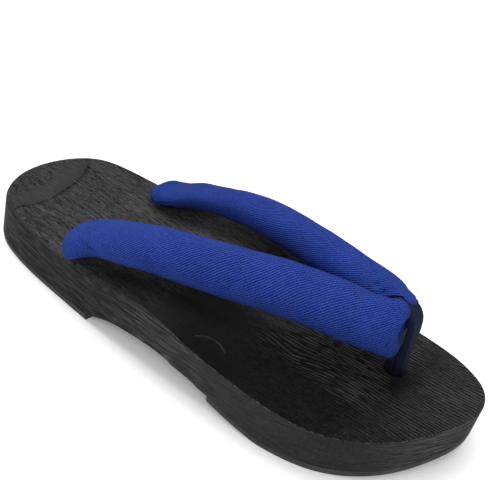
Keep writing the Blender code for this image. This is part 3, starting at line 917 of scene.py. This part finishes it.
def twillMaterial(kind):
    # diagonal ribs of short stitches on the cloth's own map, and along each seam a row of lighter
    # stitches with a groove of painted shade beside it
    look = cloths[kind]
    material, shader, start = newMaterial(look["name"])
    cloth = start.node("ShaderNodeUVMap", {"uv_map": "cloth"})
    u, v = cloth.scaled(clothUnit, clothUnit, 1).split()[:2]
    place = millimetres(start)
    x, y, z = place.split()
    wander = place.scaled(0.12, 0.12, 0.12).noise(2.0)
    fuzz = place.scaled(1.1, 1.1, 1.1).noise(2.0, 0.7)
    cloud = place.scaled(0.07, 0.07, 0.07).noise(2.0)
    along, around = cloths["ribLean"]
    length = cloths["stitchLength"]
    ribs = ((u * along + v * around) / look["pitch"] + wander * 1.2) * (2 * math.pi)
    rib = ribs.sine() * 0.5 + 0.5
    step = (u * around - v * along) * (2 * math.pi / (look["pitch"] * length)) + ribs * 0.5
    stitch = step.sine() * 0.5 + 0.5
    weave = rib * 0.55 + stitch * rib * 0.45
    shade = weave * 0.9 + fuzz + cloud * 0.3 - 0.5
    for at, aside in look["seams"]:
        dash = (u * (2 * math.pi / length)).sine().rise(-0.9, 0.1)
        near = (v - at).absolute().rise(0.55, 0.15)
        # painted shade of the groove beside the seam
        groove = (v - at - aside).absolute().rise(0.7, 0.2)
        shade = shade * (1 - groove * 0.6) + near * dash * 0.55
    innerRearShade = y.rise(20.0, 42.0) * x.rise(-10.0, -50.0)       # painted shade: darker on the inner strap's rear
    outerLowLight = y.rise(-10.0, -24.0) * z.rise(45.0, 34.0)       # painted light: paler low on the outer strap's side
    shade = shade * (1 - innerRearShade * 0.45) + outerLowLight * 0.12
    # painted shade: the cords darken where they go down into the hole
    if look["holeShade"]:
        shade = shade * z.rise(*look["holeShade"])
    plug(shader, "Base Color", shade.clamped().tint(look["low"], look["high"]))
    fix(shader, {"Roughness": 0.86, "Specular IOR Level": 0.05, "Sheen Weight": look["sheen"],
                 "Sheen Roughness": 0.5, "Sheen Tint": cloths["sheenTint"]})
    plug(shader, "Normal", bump(start, weave * 0.8 + fuzz * 0.35, look["depth"], 0.75))
    return material


# Lights: name, place, what they aim at, width, depth, power.
studio = {
    "paper": 0.86, "glow": 0.015, "sky": 0.36, "floorReach": 6,
    "lights": (
        ("overhead", (-0.1, 0.15, 1.1), (0, 0, 0), 1.2, 0.9, 13),
        ("heelSide", (-1.0, 0.25, 0.75), (-0.05, 0, 0.02), 0.9, 0.7, 7),
        ("cameraSide", (0.55, -0.9, 0.8), (0, 0, 0.02), 1.0, 0.8, 12),
    ),
}


def makeStudio():
    # a white floor, a pale sky, and soft lights overhead, behind the heel and beside the camera
    far, paper = studio["floorReach"], studio["paper"]
    mesh = bpy.data.meshes.new("floor")
    corners = [(-far, -far, 0), (far, -far, 0), (far, far, 0), (-far, far, 0)]
    mesh.from_pydata(corners, [], [(0, 1, 2, 3)])
    floor = bpy.data.objects.new("floor", mesh)
    bpy.context.scene.collection.objects.link(floor)
    material, shader, start = newMaterial("white paper")
    fix(shader, {"Base Color": (paper, paper, paper, 1), "Roughness": 0.9,
                 "Specular IOR Level": 0.1, "Emission Color": (1, 1, 1, 1),
                 "Emission Strength": studio["glow"]})
    mesh.materials.append(material)
    world = bpy.data.worlds.new("studio")
    bpy.context.scene.world = world
    world.use_nodes = True
    fix(world.node_tree.nodes["Background"], {"Color": (1, 1, 1, 1), "Strength": studio["sky"]})
    for name, spot, aim, width, depth, power in studio["lights"]:
        data = bpy.data.lights.new(name, "AREA")
        data.shape = "RECTANGLE"
        data.size = width
        data.size_y = depth
        data.energy = power
        made = bpy.data.objects.new(name, data)
        bpy.context.scene.collection.objects.link(made)
        made.location = spot
        made.rotation_euler = (Vector(aim) - Vector(spot)).to_track_quat("-Z", "Y").to_euler()
    bpy.context.scene.view_settings.view_transform = "Standard"
    bpy.context.scene.view_settings.look = "None"


def makeLoop(material):
    # a flat oval, thicker in a bead along each edge, carried along the loop's path and square to it
    table = np.array(loop["path"], float)
    reach = np.r_[0, np.cumsum(np.linalg.norm(np.diff(table[:, :2], axis=0), axis=1))]
    keyed = np.column_stack([reach, table])
    at = np.linspace(0, reach[-1], loop["rings"])
    x, z, wide, thick = [pchip(keyed, k, at) for k in range(1, 5)]
    ahead = np.gradient(np.stack([x, z], 1), axis=0)
    ahead /= np.linalg.norm(ahead, axis=1)[:, None]
    out = np.stack([-ahead[:, 1], ahead[:, 0]], 1)
    angle = np.linspace(0, 2 * np.pi, loop["sides"], endpoint=False)
    c, s = np.cos(angle), np.sin(angle)
    high, edge, width = loop["bead"]
    flat = np.sign(c) * np.abs(c) ** 0.8
    roll = 1 + high * bell(np.abs(flat), edge, width)
    lift = thick[:, None] * (np.sign(s) * np.abs(s) ** 0.75 * roll)[None]
    middle = loop["y"] + loop["sink"] * (1 - smoothStep(z, *loop["sinkRuns"]))
    grid = np.stack([x[:, None] + out[:, :1] * lift, middle[:, None] + wide[:, None] * flat[None],
                     z[:, None] + out[:, 1:] * lift], 2)
    rows, columns = grid.shape[:2]
    last = (rows - 1) * columns
    faces = gridFaces(rows, columns).tolist()
    faces += [list(range(columns)), list(range(last, last + columns))]
    uv = gridMap(at, np.linspace(0, loop["girth"], columns + 1))
    uv = np.concatenate([uv, np.zeros((2 * columns, 2))])
    piece = newPiece("toeLoopCloth", grid.reshape(-1, 3), faces, material, uv=uv,
                     merge=0.0005)
    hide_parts("ToeLoop")


# The gathered ends of both straps meet in a short neck inside the toe loop, and knots under the
# base hold the straps and the loop.
tie = {
    "neckRadius": 5.6, "neckHalf": 9.0, "neckGirth": 35.0, "neckGrid": (40, 120),
    "pleats": 15, "pleatDepth": 0.45, "pleatTwist": 1.5,
    "stemRadius": 4.0, "stemTops": {"outer": 29.0, "inner": 28.0, "toe": 12.0},
    "knotHeight": 8.0, "knotRadius": 6.9, "knotHalfHeight": 3.1,
    "knotGirth": 36.0, "knotLength": 30.0, "knotGrid": (60, 48),
    "ballShare": 0.6,       # of a knot's rows, the rest make its stem
    "groove": 0.06,
}


def makeNeck(material):
    # a round bundle along y whose radius swells towards its ends and is pleated round it
    rows, columns = tie["neckGrid"]
    along = np.linspace(-1, 1, rows)[:, None]
    turn = np.linspace(0, 2 * np.pi, columns, endpoint=False)[None]
    pleats = tie["pleatDepth"] * np.sin(tie["pleats"] * turn + tie["pleatTwist"] * along)
    radius = tie["neckRadius"] * (0.86 + 0.18 * along**2) + pleats
    radius = radius * np.sqrt(np.clip(1 - np.abs(along) ** 14, 0, 1))
    grid = np.stack([loop["neck"][0] + radius * np.cos(turn),
                     np.broadcast_to(loop["y"] + tie["neckHalf"] * along, radius.shape),
                     loop["neck"][1] + radius * np.sin(turn)], 2)
    uv = gridMap(tie["neckHalf"] * (1 + along[:, 0]), np.linspace(0, tie["neckGirth"], columns + 1))
    newPiece("strapNeck", grid.reshape(-1, 3), gridFaces(rows, columns), material,
             uv=uv, merge=0.01)


def makeKnot(name, x, y, top, material, slot):
    # a flattened ball, and from its upper part a stem up to top, both wound with a slanting groove
    rows, columns = tie["knotGrid"]
    share = np.linspace(0, 1, rows)[:, None]
    turn = np.linspace(0, 2 * np.pi, columns, endpoint=False)[None]
    part, half = tie["ballShare"], tie["knotHalfHeight"]
    ball = np.pi * np.clip(share / part, 0, 1)
    crown = tie["knotHeight"] + half
    height = np.where(share < part, tie["knotHeight"] - half * np.cos(ball),
                      crown + (share - part) / (1 - part) * (top - crown))
    radius = np.maximum(tie["knotRadius"] * np.sin(ball) * (share < part),
                        np.where(share > 0.33, tie["stemRadius"], 0))
    radius = radius * (1 - tie["groove"] * np.abs(np.sin(1.5 * turn + 0.25 * height))) * (share < 1)
    grid = np.stack([x + radius * np.cos(turn), y + radius * np.sin(turn),
                     np.broadcast_to(height, radius.shape)], 2)
    uv = gridMap(tie["knotLength"] * share[:, 0], np.linspace(0, tie["knotGirth"], columns + 1))
    newPiece(name, grid.reshape(-1, 3), gridFaces(rows, columns), material, uv=uv,
             merge=0.01)


makeCamera()
makeStudio()
report("camera and studio")
makeWood(woodMaterial())
report("carved wood")
padMaterial = rubberMaterial()
heelLow, toeHigh = reachX()
makePad("heelRubber", "HeelPad", heelLow, wood["heelPadFront"], np.zeros_like,
        rubber["heelStations"], padMaterial)
makePad("forefootRubber", "ForefootPad", wood["ballPadBack"], toeHigh, ballHeight,
        rubber["ballStations"], padMaterial)
report("rubber pads")
strapCloth = twillMaterial("strap")
makeStrap("outer", strapCloth)
makeStrap("inner", strapCloth)
report("padded straps")
loopCloth = twillMaterial("loop")
makeLoop(loopCloth)
makeNeck(strapCloth)
for label, cloth, slot, hole in zip(("outer", "inner", "toe"), (strapCloth, strapCloth, loopCloth),
                                    ("StrapUpper", "StrapUpper", "ToeLoop"), wood["holes"]):
    makeKnot(label + "Knot", *hole[:2], tie["stemTops"][label], cloth, slot)
report("toe loop, neck and knots")
